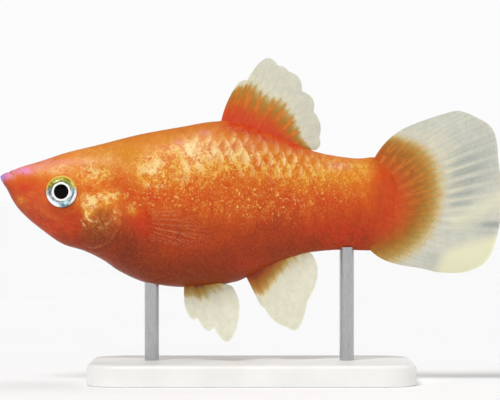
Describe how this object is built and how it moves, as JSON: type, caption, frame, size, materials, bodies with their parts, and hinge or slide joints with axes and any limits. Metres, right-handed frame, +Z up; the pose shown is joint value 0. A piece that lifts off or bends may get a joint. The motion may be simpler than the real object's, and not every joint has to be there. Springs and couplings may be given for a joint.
{
  "type": "southern platyfish display model",
  "caption": "Life-size still model of an adult female southern platyfish, red with pale fin edges, level on a small display stand.",
  "frame": {"origin": "middle of the underside of the stand's base, below the middle of the fish's total length", "axes": "+Z up; the fish lies along X with its head towards -X and its tail towards +X; its left side faces -Y"},
  "size_m": [0.056, 0.02, 0.0361],
  "materials": {
    "skin": "wet, glossy, red-orange with gold glints",
    "eye": "clear gloss over a silver iris and black pupil",
    "fin": "satin membrane, orange at the root, pale at the edge",
    "clear_fin": "thin, nearly clear membrane with pale rays",
    "stand_plate": "satin white plate",
    "stand_steel": "brushed rods"
  },
  "bodies": {
    "root": {"head": "skin", "trunk": "skin", "tail_stalk": "skin", "gill_cover_left": "skin", "gill_cover_right": "skin", "eye_left": "eye", "eye_right": "eye", "dorsal_fin": "fin", "anal_fin": "fin", "caudal_fin": "fin", "pectoral_fin_left": "clear_fin", "pectoral_fin_right": "clear_fin", "pelvic_fin_left": "fin", "pelvic_fin_right": "fin", "stand_base": "stand_plate", "stand_rod_front": "stand_steel", "stand_rod_rear": "stand_steel"}
  },
  "joints": []
}
